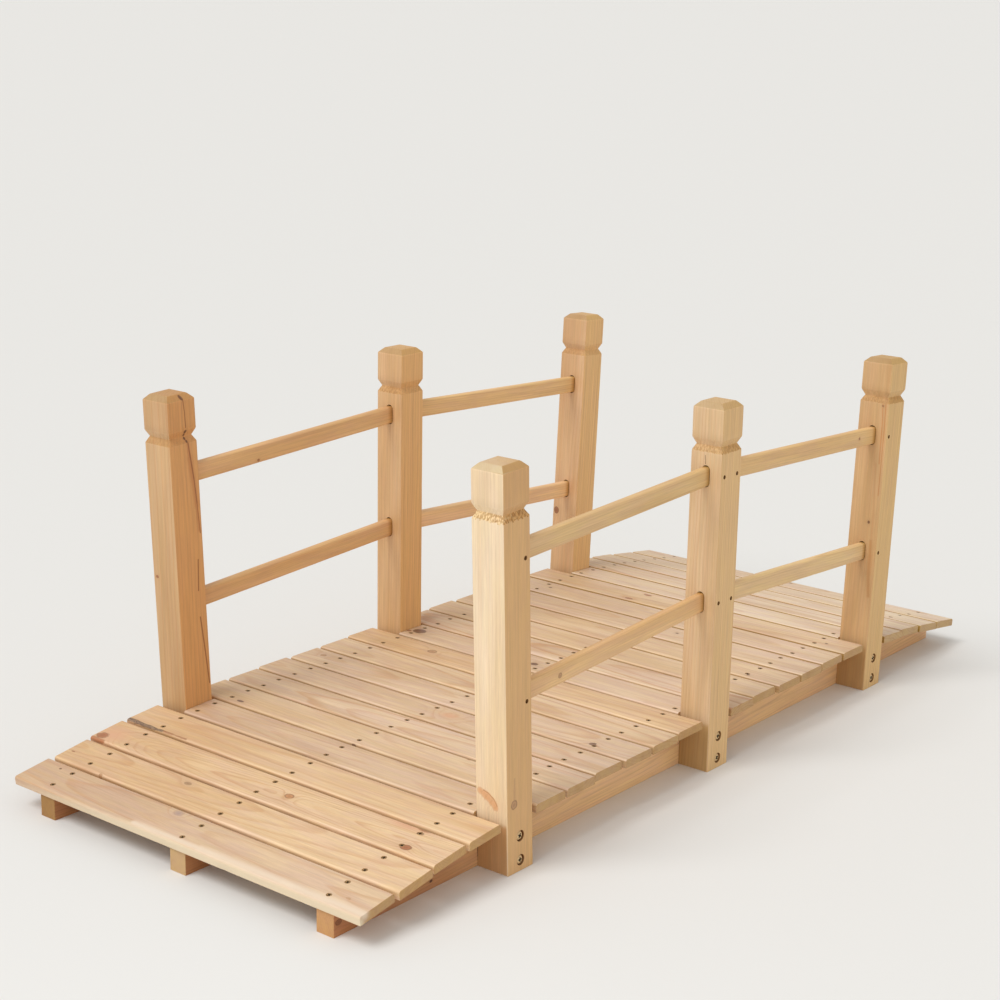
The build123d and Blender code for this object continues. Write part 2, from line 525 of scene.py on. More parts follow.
def linear(red, green, blue):
    """A colour in the usual 0 to 255 as the linear values that a shader takes."""
    parts = [value / 255 for value in (red, green, blue)]
    return tuple(p / 12.92 if p < 0.04045 else ((p + 0.055) / 1.055) ** 2.4 for p in parts) + (1.0,)


def wood_material(name, finish, log, knots, shade):
    """Material of one board: the common wood with this board's log, tones, knots and shade."""
    material, g = new_material(name)
    place, end = g.attribute("board_place", 1), g.attribute("end_grain")
    marked = dict(bulge=0.0, core=0.0, rim=0.0, paint=knots[0].colour if knots else finish.late)
    for knot in knots:
        knot = knot._replace(axis=Vector(knot.axis).normalized())
        outputs = g.use(knot_group, place=place, **knot._asdict(), **marked)
        marked = {label: outputs[label] for label in marked}
    dark = g.times(shade.amount(g, place), g.minus(1.0, end))
    wood = g.use(wood_group, place=place, end=end, torn=g.attribute("torn"), hollow=g.attribute("hollow"),
                 shade_tint=shade.tint, shade=dark, **finish._asdict(), **log._asdict(), **marked)
    bump = g.add("Bump", {"Strength": 0.5, "Distance": grain_relief, "Height": wood["height"]})
    g.surface({"Base Color": wood["colour"], "Roughness": wood["roughness"], "Specular IOR Level": 0.45,
               "Normal": bump})
    return material


def mark_faces(mesh, name, amount):
    """Attribute of the faces, which the amount works out from a face's centre and normal, or 0 without it."""
    values = [float(amount(p.center, p.normal)) if amount else 0.0 for p in mesh.polygons]
    mesh.attributes.new(name, "FLOAT", "FACE").data.foreach_set("value", values)


def dress(board, mesh, material, torn=None, hollow=None, flat_end=1.0):
    """Finished piece that stands for a board of the frame. Flat end is how far its top is end grain; hollow
    gives the painted shade in its holes.
    """
    def end_grain(centre, normal):
        return min(max(5 * abs(normal.x) - 2.5, 0), flat_end if normal.x > 0.95 else 1)

    places = np.empty(len(mesh.vertices) * 3, np.float32)
    mesh.vertices.foreach_get("co", places)
    mesh.attributes.new("board_place", "FLOAT_VECTOR", "POINT").data.foreach_set("vector", places)
    mark_faces(mesh, "end_grain", end_grain)
    mark_faces(mesh, "torn", torn)
    mark_faces(mesh, "hollow", hollow)
    mesh.transform(board.place)
    return make_piece(f"{board.node}_timber", mesh, material, board.node)


def make_piece(name, mesh, material, node=None):
    """Object on the bridge, in place of a node of the frame where one is named."""
    mesh.shade_smooth()
    mesh.set_sharp_from_angle(angle=smooth_angle)
    mesh.materials.clear()
    mesh.materials.append(material)
    piece = new_object(name, mesh)
    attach(piece, "root")
    if node:
        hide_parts(node)
    return piece


# Tones of the wood, each as a pale and a warm one
BEIGE = linear(228, 200, 163), linear(214, 182, 141)
PINKISH = linear(228, 201, 168), linear(213, 183, 147)
GREYISH = linear(220, 191, 156), linear(206, 174, 139)
HONEY = linear(229, 198, 156), linear(216, 180, 135)
CREAM = linear(234, 212, 181), linear(222, 195, 160)
STRINGER_TAN = linear(255, 213, 157), linear(246, 202, 147)
LATEWOOD = linear(196, 143, 94)
RUST = linear(184, 132, 88)

# How the end grain of each kind of board changes its colour
PLANK_END = (0.74, 0.63, 0.43, 1.0)
POST_END = (0.75, 0.735, 0.66, 1.0)
RAIL_END = (0.77, 0.65, 0.55, 1.0)
STRINGER_ENDS = {
    "stringer_left": (0.395, 0.325, 0.20, 1.0),
    "stringer_centre": (0.585, 0.58, 0.53, 1.0),
    "stringer_right": (0.59, 0.48, 0.365, 1.0),
}

# Colours of the knots, their bark and the streaks, the painted highlights on the near plank's front face and
# front edge, and the painted shade in a screw's recess
BROWN = linear(170, 104, 66)
AMBER = linear(198, 138, 90)
DARK = linear(112, 74, 54)
DULL = linear(170, 136, 104)
LIGHT = linear(190, 144, 102)
ORANGE = linear(223, 168, 120)
BARK_GREY = linear(82, 59, 46)
BARK_BROWN = linear(172, 106, 64)
FRONT_FACE_HIGHLIGHT = linear(229, 211, 180)
STREAK_BROWN = linear(150, 92, 56)
STREAK_WARM = linear(196, 134, 82)
STREAK_PALE = linear(200, 155, 108)
STREAK_TAN = linear(190, 143, 94)
PINK_HALO = linear(220, 170, 134)
PINK_GREY = linear(176, 150, 140)
FRONT_EDGE_HIGHLIGHT = linear(234, 214, 190)
RECESS_SHADE = linear(42, 28, 16)

# The line of a branch through a plank, how high up on it its streaks run, in millimetres, and how deep the
# branches go into the posts
knot_tilt = (0.12, 0.1, 1)
streak_height = 5.5
post_knot_reach = 14 * MM


def through(x, y, radius, colour, stretch=1.25, push=1.0, mottle=0.0, blur=0.0):
    """Knot that goes through a plank from face to face, placed in millimetres on its top."""
    return Knot((x * MM, y * MM, 0), knot_tilt, radius * MM, stretch, 1.0, push, mottle, colour, blur)


def chain(route, colour, push=0.1, mottle=0.0, blur=0.7):
    """Streak through points of a board, each given with the streak's radius there, all in millimetres."""
    streak = []
    for (start, first), (end, second) in zip(route, route[1:]):
        middle, way = Vector(start).lerp(end, 0.5) * MM, (Vector(end) - Vector(start)) * MM
        radius = (first + second) / 2 * MM
        streak.append(Knot(middle, way, radius, 1.0, way.length / 2, push, mottle, colour, blur))
    return streak


def along_plank(route, colour, mottle=0.0, blur=0.7):
    """Streak on a plank's top, through the (x, y, radius) points of its route."""
    return chain([((x, y, streak_height), radius) for x, y, radius in route], colour, 0.1, mottle, blur)


def knot_at(board, point, radius, colour, stretch):
    """Knot at a point of the bridge in millimetres, its branch running across the bridge."""
    axis = board.place.to_3x3().inverted() @ Vector(ACROSS)
    return Knot(board.local(Vector(point) * MM), axis, radius * MM, stretch, 1.0, 1.0, 0.0, colour, 0.0)


# Planks

# The tone of each plank from the near end: beige, greyish, pinkish, honey or cream. The cream of the five far
# planks is partly a painted sheen.
plank_tones = dict(b=BEIGE, g=GREYISH, p=PINKISH, h=HONEY, c=CREAM)
plank_order = "ghhhgbpppbhppbbppbccccc"
plank_leans = {1: 1.3}
plank_knots = {
    # A painted highlight on the near plank's front face and along the top of its front edge
    1: [*chain([((-325, 31, -1), 8), ((60, 31, -1), 8), ((325, 40, -3), 8)], FRONT_FACE_HIGHLIGHT, 0.0, 0.0, 0.6),
        *along_plank([(80, 25, 3), (-40, 24, 6), (-180, 23, 7), (-318, 22, 7)], FRONT_EDGE_HIGHLIGHT, 0.0, 1.0),
        through(276, -18, 1.6, DARK), through(-277, 6, 1.8, LIGHT, 2.5, 0.4, 0.6),
        through(46, -22, 5.0, PINK_GREY, 1.5, 2.2, 0.0, 0.9)],
    2: [through(97, -17, 3.4, DULL, 1.8, 1.0, 0.0, 0.3), through(303, 5, 1.2, BROWN, 3),
        through(219, 29, 2.6, LIGHT)],
    3: [through(-225, -26, 7.5, PINK_HALO, 4.5, 0.1, 0.0, 0.9),
        through(290, 8, 19.0, PINK_HALO, 1.3, 0.5, 0.0, 1.0), through(-45, 0, 5.6, AMBER, 1.3, 1.2),
        through(-249, -30, 5.5, BARK_BROWN, 2.2, 0.1, 0.0, 0.7),
        through(-251, -20, 3.4, DARK, 1.6, 0.6, 0.0, 0.5), through(-258, 15, 6.0, BROWN, 1.4),
        *along_plank([(316, 30, 5.5), (290, 30, 4.0)], BARK_BROWN, 0.1, 0.5),
        through(302, 17, 8.6, BROWN, 1.25, 0.8, 0.1)],
    4: [*along_plank([(246, 27, 2.2), (222, 27, 1.8), (195, 27, 1.4)], STREAK_BROWN, 0.2, 0.8),
        *along_plank([(313, 27, 4.0), (295, 27, 3.6), (277, 27.5, 3.8), (257, 28, 3.0), (243, 27, 2.0)],
                     BARK_GREY, 0.3, 0.15)],
    5: [through(4, -31, 2.4, DARK, 1.8, 1.0, 0.3)],
    6: [through(-156, -29, 2.4, BROWN), through(0, 31, 2.2, DARK, 2.2, 1.0, 0.3),
        through(232, 19, 3.0, DARK, 2.2, 0.9)],
    8: [through(-34, -5, 9.0, PINK_HALO, 1.6, 1.6, 0.0, 1.0)],
    9: [through(282, -9, 4.0, LIGHT), through(-247, 12, 5.0, DARK, 1.1, 1.0, 0.3)],
    11: [through(166, -4, 6.5, LIGHT)],
    12: [through(248, 0, 9.5, DARK, 1.2), through(262, 9, 3.4, BROWN),
         through(14, 1.5, 5.0, DARK)],
    15: [through(-255, 19, 2.2, DARK)],
    16: [through(-63, -8.5, 2.2, DARK)],
    17: [through(238, -3.6, 2.4, DARK)],
    18: [through(102, 21, 3.6, BROWN, 2.2), through(89, -16, 3.6, BROWN, 2.2),
         through(-270, 5, 2.0, DARK)],
}
# How dark the painted shade in the gaps beside some planks is, and how deep it reaches, from the near end to
# the far end; a darkness below 0 paints a slight highlight instead
gap_numbers = (1, 5, 8, 12, 18, 23)
gap_darknesses = (-0.06, 0.26, 0.50, 0.42, 0.85, 1.0)
gap_depths = (3.0, 2.8, 2.6, 2.4, 1.7, 1.1)
# How much paler the painted highlight on the upper part of a plank's rounded long edges is
painted_edge_highlight = 0.2
# The planks of the near ramp, whose right screws sit further in, and the contrast and spacing of the rings on
# the one striped plank
ramp_planks = 5
striped_planks = {13: (0.7, 4.2 * MM)}


def gap_shade(board, sides, darkness, depth):
    """Painted highlight on a plank's rounded long edges, then painted shade down in the gap, for the sides of
    its Y that face one.
    """
    top, edge = board.size.z / 2, board.size.y / 2 - plank_edge_radius

    def shade(g, place):
        y, z = g.axis(place, 1), g.axis(place, 2)
        outward = g.math("ABSOLUTE", y) if len(sides) == 2 else g.times(y, float(sides[0]))
        deep = g.ramp(z, top - depth, top - 0.45 * depth, darkness, -painted_edge_highlight)
        return g.times(deep, g.ramp(outward, edge, edge + 1.5 * MM))
    return Shade(WARM_SHADE, shade)


upright = Matrix(((0, 0, -1), (0, 1, 0), (1, 0, 0))).to_4x4()
hole = [(-deck_screw_hole_depth, 0.9 * MM), (-1.2 * MM, 0), (-0.3 * MM, 0), (cut_overlap, -cut_overlap)]
hole = round_bar(hole, deck_screw_hole_radius)
deck_screws = []
for number, board in enumerate(planks, 1):
    dice = board.dice
    radii = [plank_edge_radius, plank_edge_radius, arris_radius, arris_radius]
    mesh = bar(end_to_end(board.size.x), board.size.y, board.size.z, radii, around_section, 4,
               worn(number * seed_step))
    holes = []
    for row in deck_screw_rows:
        for side in (-1, 1):
            x, y = (dice.uniform(-deck_screw_stray, deck_screw_stray) for _ in range(2))
            x += board.local((0, row, 0)).x
            place = Vector((x, y + side * deck_screw_from_middle, board.size.z / 2))
            if number <= ramp_planks and row == deck_screw_rows[0]:
                place += ramp_screw_shift
            holes.append((hole, Matrix.Translation(place) @ upright))
    mesh = carved(mesh, holes)
    deck_screws += [board.place @ place for _, place in holes]
    contrast, spacing = striped_planks.get(number, (dice.uniform(0.28, 0.5), dice.uniform(3, 5.5) * MM))
    lean = plank_leans.get(number, 0.5)
    finish = Finish(*plank_tones[plank_order[number - 1]], LATEWOOD, contrast, spacing, lean, PLANK_END)
    pith = (number * log_step, dice.uniform(-24, 24) * MM, dice.choice((-1, 1)) * dice.uniform(24, 70) * MM)
    log = Log(pith, (0, dice.uniform(-0.02, 0.02), dice.uniform(-0.05, 0.05)), 0, LATEWOOD)
    in_hole = board.size / 2 - Vector((hollow_margin, 4 * MM, 0.2 * MM))

    # Painted shade inside the screw holes
    def hollow(centre, normal, room=in_hole):
        return screw_hole_shade if all(abs(c) < r for c, r in zip(centre, room)) else 0.0

    gaps = [side for side in (-1, 1) if 0 < number - side <= len(planks)]
    darkness, depth = (float(np.interp(number, gap_numbers, v)) for v in (gap_darknesses, gap_depths))
    shade = gap_shade(board, gaps, darkness, depth * MM)
    material = wood_material(f"plank_fir_{number:02d}", finish, log, plank_knots.get(number, []), shade)
    dress(board, mesh, material, hollow=hollow)


# Stringers

def make_stringer(board, seed):
    """Board on edge whose top is cut in the flats of the frame's own board."""
    tops = {}
    for x, y, _ in board.points:
        tops[round(x, 5)] = min(y, tops.get(round(x, 5), y))
    profile = sorted(tops.items())
    bottom = board.size.y / 2
    wear = worn(seed)

    def shape(point, way, corner):
        share = point.y / board.size.y + 0.5
        top = float(np.interp(point.x, *zip(*profile)))
        moved = Vector((point.x, top + (bottom - top) * share, point.z))
        return wear(moved, way, corner) if abs(way.y) < 0.5 else moved

    half = board.size.x / 2
    inner = half - end_bevel
    bends = [-inner, *(x for x, _ in profile if abs(x) < inner - MM), inner]
    between = [x for a, b in zip(bends, bends[1:]) for x in steps(a, b, station_step)]
    stations = [(-half, end_bevel), *((x, 0) for x in between), (inner, 0), (half, end_bevel)]
    return bar(stations, board.size.y, board.size.z, [arris_radius] * 4, 12 * MM, 2, shape)


# How far from the middle the painted shade under the ramps sets in and is full, on both and at the near end
# once more
ramp_shade, end_shade = (430 * MM, 550 * MM), (600 * MM, 740 * MM)
near_ramp_darkness, near_end_darkness, far_ramp_darkness = 0.60, 0.18, 0.15


def under_ramps(g, place):
    """Painted shade that darkens a stringer under the two ramps."""
    x = g.axis(place, 0)
    towards_near_end = g.times(x, -1.0)
    return g.plus(g.ramp(towards_near_end, *ramp_shade, 0.0, near_ramp_darkness),
                  g.ramp(towards_near_end, *end_shade, 0.0, near_end_darkness),
                  g.ramp(x, *ramp_shade, 0.0, far_ramp_darkness))


stringer_knots = {
    "stringer_right": [((-730, -268, 18), 4.0, LIGHT), ((-566, -268, 11), 2.0, DARK)],
    "stringer_left": [((310, 268, 28), 4.5, BROWN), ((-260, 268, 44), 3.0, DARK)],
}
for number, board in enumerate(stringers):
    dice = board.dice
    finish = Finish(*STRINGER_TAN, RUST, 0.3, dice.uniform(2.6, 3.6) * MM, 0, STRINGER_ENDS[board.node])
    pith = (stringer_logs + number * log_step, dice.uniform(-30, 30) * MM, dice.uniform(30, 60) * MM)
    log = Log(pith, (0, 0.01, 0.015), 0, RUST)
    knots = [knot_at(board, *knot, 1.4) for knot in stringer_knots.get(board.node, [])]
    material = wood_material(f"stringer_fir_{number}", finish, log, knots, Shade(RUSTY_SHADE, under_ramps))
    dress(board, make_stringer(board, 40 + number), material)


# Posts

def make_post(board, seed, roughness):
    """Post with its foot on the ground, a groove round its neck, torn below, and a chamfered head."""
    top = board.size.x / 2
    rise = board.place.to_3x3().row[2]
    middle_height = board.place.translation.z
    wear = worn(seed)

    def at_height(point, height):
        return Vector((point.x - (middle_height + rise.dot(point) - height) / rise.x, point.y, point.z))

    def shape(point, way, corner):
        below_top = top - point.x
        above_foot = point.x + top
        if above_foot < 2 * MM:
            return at_height(point, 0 if above_foot < 0.1 * MM else end_bevel)
        moved = wear(point, way, corner)
        if groove_middle + MM < below_top < groove_bottom + MM:
            tufts = noise.noise(Vector((point.x * tufts_along, point.y * tufts_across,
                                        point.z * tufts_across + seed)))
            moved += way * (tufts - 0.15) * torn_depth * roughness
            if below_top > groove_bottom - 2 * MM:
                fringe = Vector((seed, point.y * edge_tufts_across, point.z * edge_tufts_across))
                moved.x += torn_edge * roughness * noise.noise(fringe)
        return moved

    neck, head = top - groove_middle, top - head_chamfer
    slope_down = groove_cut / (groove_bottom - groove_middle)
    slope_up = groove_cut / (groove_middle - groove_top)
    foot = [(-top, end_bevel), (MM - top, 0)]
    shaft = [(x, 0) for x in steps(7 * MM - top, top - groove_bottom - 4 * MM, station_step)]
    edge = [(top - groove_bottom - 4 * MM, 0), (top - groove_bottom - 1.5 * MM, 0)]
    lower = [(x, groove_cut - (neck - x) * slope_down) for x in steps(top - groove_bottom, neck, groove_step)]
    upper = [(x, groove_cut - (x - neck) * slope_up) for x in steps(neck, top - groove_top, 2 * groove_step)]
    cap = [(x, 0) for x in steps(top - groove_top, head - 2 * MM, station_step)]
    soft = 0.4 * MM
    chamfer = [(head + reach, (reach + math.hypot(reach, soft)) / 2) for reach in
               (-1.5 * MM, -0.5 * MM, 0.4 * MM, 1.2 * MM, 3 * MM, 5 * MM, 6.8 * MM)]
    crown = [(top - 0.55 * MM, head_chamfer - 0.3 * MM), (top - 0.15 * MM, head_chamfer + 0.4 * MM)]
    flat = [(top, head_chamfer + 1.5 * MM), (top, head_chamfer + 2.3 * MM)]
    stations = foot + shaft + edge + lower + upper + cap + chamfer + crown + flat
    return bar(stations, board.size.y, board.size.z, [post_edge_radius] * 4, 1.3 * MM, 3, shape)


def fitted_rails(board):
    """Rails let into a post, each with its height on the post's axis and the side that it leaves on."""
    found = []
    for rail in rails:
        for end in (-1, 1):
            meet = board.local(rail.place @ Vector((end * (rail.size.x / 2 + rail_end_to_post_axis), 0, 0)))
            if abs(meet.y) < board.size.y / 2 and abs(meet.z) < MM:
                found.append((rail, meet.x, -end))
    return found


def outer_face(board, height, offset):
    """Place on a post's outer face, in the post's own axes, with X pointing out of it."""
    side = 1 if "left" in board.node else -1
    turn = Matrix(((0, -side, 0), (side, 0, 0), (0, 0, 1))).to_4x4()
    return Matrix.Translation((height, side * board.size.y / 2, offset)) @ turn


def post_marks(board):
    """The knots and streaks of a post, placed in millimetres above the deck and from its axis on one face."""
    def place(height, across, face):
        x = board.size.x / 2 / MM - post_above_deck / MM + height
        if face == "near":
            return Vector((x, across, board.size.z / 2 / MM))
        return Vector((x, -board.size.y / 2 / MM, -across))

    def streak(face, route, colour, push=0.1, mottle=0.0, blur=0.7):
        points = [(place(height, across, face), radius) for height, across, radius in route]
        return chain(points, colour, push, mottle, blur)

    def knot(face, height, across, radius, colour, stretch=1.25, push=1.0):
        axis = (0.1, 0.15, 1) if face == "near" else (0.1, 1, 0.15)
        centre = place(height, across, face) * MM
        return [Knot(centre, axis, radius * MM, stretch, post_knot_reach, push, 0.0, colour, 0.0)]

    marks_of = {
        "post_right_near": [
            streak("near", [(30, 18, 3.8), (27, 11, 5.8), (23, 4, 6.4), (18, -3, 5.8), (13, -6, 3.8)],
                   ORANGE, 0.3, 0.12, 0.35),
            streak("near", [(32, 13, 0.9), (30, 5, 1.1), (24, -4, 1.1), (16, -8.5, 0.9)], STREAK_WARM, 0.0,
                   0.1, 0.9),
            # Painted shade: a dark line down the face's edge under the deck, where the stringer meets it
            streak("near", [(-28, 24.6, 1.0), (-62, 24.6, 1.0)], DARK, 0.0, 0.0, 0.2),
            streak("right", [(24, -10.5, 2.6), (38, -10.4, 2.0), (52, -10, 1.0)], STREAK_PALE, 0.1, 0.0, 1.0),
            knot("right", 17.5, -11.5, 6.4, LIGHT, 0.95, 0.9)],
        "post_right_middle": [
            streak("near", [(368, 1, 0.5), (380, 2, 0.5)], DARK, 0.1, 0.0, 0.2)],
        "post_left_near": [
            streak("right", [(394, 7, 2.6), (364, 10, 4.4), (330, 14, 4.6), (292, 18, 3.4), (256, 20.5, 1.8)],
                   STREAK_WARM, 0.0, 0.0, 1.0),
            streak("right", [(450, 3.5, 0.8), (429, 5.4, 0.7), (407, 5.8, 0.9)], STREAK_BROWN),
            streak("right", [(384, 8.5, 1.4), (364, 11.2, 1.7), (332, 15.4, 1.5), (296, 18.6, 1.0),
                             (252, 21.4, 0.6)], STREAK_BROWN),
            streak("right", [(214, 14.4, 0.7), (190, 13, 1.5), (169, 11.8, 0.8)], STREAK_BROWN),
            streak("right", [(129, 12.2, 0.8), (75, 17.8, 1.6), (27, 22.1, 0.8)], STREAK_BROWN),
            knot("right", 449, 3, 2.6, DARK), knot("right", 401, 5.8, 2.4, DARK),
            *(knot("right", height, across, 1.7, DARK) for height, across in
              ((396, 5.2), (391, 5.8), (387, 7.2))),
            knot("near", 191, 17.7, 2.8, BROWN, 0.8)],
        "post_left_far": [knot("near", 105, 17.7, 5.0, STREAK_BROWN)],
        "post_right_far": [
            knot("near", 381, -15, 1.6, DARK), knot("near", 195, -8.2, 2.0, DARK),
            streak("near", [(290, -11, 0.8), (208, -15.5, 1.2), (165, -15, 1.6)], STREAK_PALE, 0.0, 0.0, 1.0),
            streak("near", [(166, -15, 1.6), (142, -15.6, 3.4), (112, -16, 3.8), (77, -18.6, 2.0)],
                   STREAK_TAN, 0.0, 0.0, 1.0),
            streak("near", [(384, -14.8, 0.8), (352, -16.2, 0.9), (290, -17, 0.6)], STREAK_WARM),
            streak("near", [(384, -19.6, 0.7), (345, -20.6, 0.9), (240, -20.4, 0.6)], STREAK_WARM)],
    }
    return [part for mark in marks_of.get(board.node, []) for part in mark]


# How each post looks: its two tones, its heartwood, the contrast and spacing of its rings, the spacing in
# millimetres, how torn its neck is and how much darker its head is
PostLook = namedtuple("PostLook", "pale warm heartwood contrast spacing neck head")
post_looks = {
    "post_right_near": ((241, 219, 184), (233, 207, 166), (219, 175, 119), 0.16, 2.8, 1.0, 0.12),
    "post_right_middle": ((226, 196, 155), (215, 182, 138), (230, 191, 134), 0.42, 3.8, 0.55, 0.06),
    "post_right_far": ((211, 174, 126), (198, 159, 110), (228, 188, 125), 0.40, 3.2, 0.4, 0.0),
    "post_left_near": ((213, 176, 130), (198, 159, 111), (220, 165, 105), 0.55, 4.8, 0.15, 0.15),
    "post_left_middle": ((223, 184, 137), (209, 168, 118), (231, 183, 121), 0.42, 3.4, 0.5, 0.0),
    "post_left_far": ((222, 184, 141), (209, 168, 122), (238, 195, 132), 0.40, 3.2, 0.3, 0.03),
}
# Painted shade on the posts: where the deck covers them, by where each post stands, and under their heads
under_deck_shade = {"near": 0.69, "middle": 0.61, "far": 0.37}
under_head_shade = 0.18


def post_shade(board, look):
    """How much darker a post is on its head, and its painted shade under its head and where the deck covers
    all but its outer face.
    """
    top, half, outward = board.size.x / 2, board.size.y / 2, 1.0 if "left" in board.node else -1.0
    deck = top - post_above_deck

    def shade(g, place):
        x, y, z = (g.axis(place, axis) for axis in range(3))
        inward = g.line(y, -outward, half)
        under = g.ramp(x, top - groove_top - MM, top - groove_top, under_head_shade, 0.0)
        under = g.times(under, g.ramp(x, top - groove_middle, top - groove_middle + 2 * MM))
        under = g.times(under, g.ramp(g.plus(y, z), -MM, MM, 1.0, 0.0))
        foot = g.ramp(x, deck - 13 * MM, deck - 4 * MM, under_deck_shade[board.node.split("_")[2]], 0.0)
        foot = g.times(foot, g.ramp(inward, 0.8 * MM, 2.5 * MM))
        head = g.ramp(x, top - groove_top - MM, top - groove_top + MM, 0.0, look.head)
        return g.plus(under, g.plus(foot, head))
    return Shade(REDDISH_SHADE if board.node.endswith("near") else WARM_SHADE, shade)


post_screws, rail_screws = [], []
post_bore = round_bar([(-post_bore_depth, 0), (cut_overlap, 0)], post_bore_radius, 8)
rail_bore = round_bar([(-rail_bore_depth, 0), (cut_overlap, 0)], rail_bore_radius)
for number, board in enumerate(posts):
    cutters = []
    for level in post_bore_levels:
        axis = board.place.to_3x3().col[0]
        place = outer_face(board, (level - board.place.translation.z) / axis.z, 0)
        cutters.append((post_bore, place))
        post_screws.append(board.place @ place @ Matrix.Translation((-post_bore_depth, 0, 0)))
    for rail, height, leaves in fitted_rails(board):
        across = rail.size.y + 2 * slot_side_clearance
        half = rail.size.x / 2 + slot_depth_clearance
        slot = bar([(-half, 0), (half, 0)], across, rail.size.z + 2 * slot_end_clearance,
                   [0.4995 * across] * 4, corner_steps=6)
        place = outer_face(board, height, -leaves * rail_bore_from_centre)
        cutters += [(slot, board.place.inverted() @ rail.place), (rail_bore, place)]
        rail_screws.append(board.place @ place @ Matrix.Translation((-rail_screw_sunk, 0, 0)))
    look = PostLook(*post_looks[board.node])
    mesh = carved(make_post(board, 70 + 5 * number, look.neck), cutters)
    finish = Finish(linear(*look.pale), linear(*look.warm), LATEWOOD, look.contrast, look.spacing * MM, 0,
                    POST_END)
    pith = (post_logs + number * log_step, 60 * MM, 40 * MM)
    log = Log(pith, (0, 0.006, 0.01), 1, linear(*look.heartwood))
    low, high = board.size.x / 2 - groove_bottom - torn_edge, board.size.x / 2 - groove_middle

    def torn(centre, normal, low=low, high=high, depth=look.neck, side=1 if "left" in board.node else -1):
        depth = inner_tear if normal.y * side < -0.5 else depth
        return depth if low < centre.x < high and normal.x > 0.12 else 0.0

    half = board.size / 2

    # Painted shade inside the bores and slots, lighter on faces parallel to the outer faces, the bores'
    # floors among them
    def hollow(centre, normal, half=half):
        between = 2 * MM - half.x < centre.x < half.x - groove_bottom - 2 * MM
        inside = max(abs(centre.y) - half.y, abs(centre.z) - half.z) < -hollow_margin
        return (bore_floor_shade if abs(normal.y) > 0.7 else hole_shade) if between and inside else 0.0

    material = wood_material(f"post_fir_{number}", finish, log, post_marks(board), post_shade(board, look))
    dress(board, mesh, material, torn, hollow, 0.5)


# Rails

# Each rail's pale and warm tones, and how dark the painted shade grows where it enters its slots
rail_tones = {
    "rail_left_upper_near": ((230, 186, 131), (220, 174, 117)),
    "rail_left_lower_near": ((230, 186, 132), (220, 174, 118)),
    "rail_left_upper_far": ((241, 201, 142), (231, 189, 129)),
    "rail_left_lower_far": ((250, 210, 158), (240, 198, 144)),
    "rail_right_upper_near": ((229, 194, 138), (219, 181, 124)),
    "rail_right_lower_near": ((237, 196, 140), (227, 183, 126)),
    "rail_right_upper_far": ((236, 197, 138), (226, 185, 126)),
    "rail_right_lower_far": ((244, 212, 155), (234, 199, 142)),
}
rail_in_post = 18 * MM
slot_mouth_shade = 0.75


def slot_shade(board):
    """Painted shade that darkens a rail towards the posts that it enters."""
    mouth = board.size.x / 2 - rail_in_post

    def shade(g, place):
        x = g.math("ABSOLUTE", g.axis(place, 0))
        return g.ramp(x, mouth - 12 * MM, mouth + MM, 0.0, slot_mouth_shade)
    return Shade(WARM_SHADE, shade)


rail_knots = {
    "rail_right_lower_near": [((-354, -299, 229), 3.6, LIGHT)],
    "rail_left_upper_near": [((-313, 287, 408), 2.2, BROWN)],
    "rail_left_lower_far": [((250, 299, 228), 3.2, BROWN)],
    "rail_right_upper_far": [((396, -299, 414), 2.2, BROWN)],
}
for number, board in enumerate(rails):
    dice = board.dice
    mesh = bar(end_to_end(board.size.x), board.size.y, board.size.z, [rail_edge_radius] * 4, around_section,
               4, worn(130 + 5 * number, rail_nick))
    pale, warm = (linear(*tone) for tone in rail_tones[board.node])
    finish = Finish(pale, warm, LATEWOOD, dice.uniform(0.25, 0.4), dice.uniform(2.6, 3.8) * MM, 0, RAIL_END)
    pith = (rail_logs + number * log_step, dice.uniform(-30, 30) * MM, dice.uniform(30, 70) * MM)
    log = Log(pith, (0, 0.012, 0.01), 0, LATEWOOD)
    knots = [knot_at(board, *knot, 1.1) for knot in rail_knots.get(board.node, [])]
    material = wood_material(f"rail_fir_{number}", finish, log, knots, slot_shade(board))
    dress(board, mesh, material)


# Screws

def metal_material(name, bright, dull, roughness, shine):
    """Plated steel, mottled, with painted shade in the recess of its cross."""
    material, g = new_material(name)
    mottle = g.noise(g.add("TexCoord", {}, 3), METAL_MOTTLE, 3.0, 0.6)
    colour = g.mix(g.ramp(mottle, 0.35, 0.7), bright, dull)
    g.surface({"Base Color": g.mix(g.attribute("recess_shade"), colour, RECESS_SHADE), "Metallic": shine,
               "Roughness": g.line(mottle, 0.3, roughness)})
    return material


def cross_cut(head, top, span, depth):
    """The head with a tapered cross for the driver, cut into its top."""
    width = cross_share * span
    wing = bar([(top - depth, 0.2 * MM), (top, 0), (top + cut_overlap, 0)], span, width, [least_radius] * 4)
    for angle in (0, math.pi / 2):
        head = carved(head, [(wing, Matrix.Rotation(angle, 4, "X"))])

    # Faces inside the cross's recess, which get painted shade
    def recess_shade(centre, normal):
        below_top = -0.1 * MM < centre.x - top + depth < depth - 0.25 * MM
        return below_top and math.hypot(centre.y, centre.z) < span / 2

    mark_faces(head, "recess_shade", recess_shade)
    return head


def scatter(name, master, places, material):
    """One piece of many screws, each turned about its own axis by chance."""
    copies = [(master, place @ Matrix.Rotation(dice.uniform(0, math.pi / 2), 4, "X")) for place in places]
    return make_piece(name, joined(copies), material)


dice = random.Random(11)
steel = metal_material("deck_screw_steel", linear(182, 146, 98), linear(132, 100, 62), 0.4, 0.15)
zinc = metal_material("post_screw_zinc", linear(236, 204, 152), linear(216, 178, 126), 0.4, 0.1)

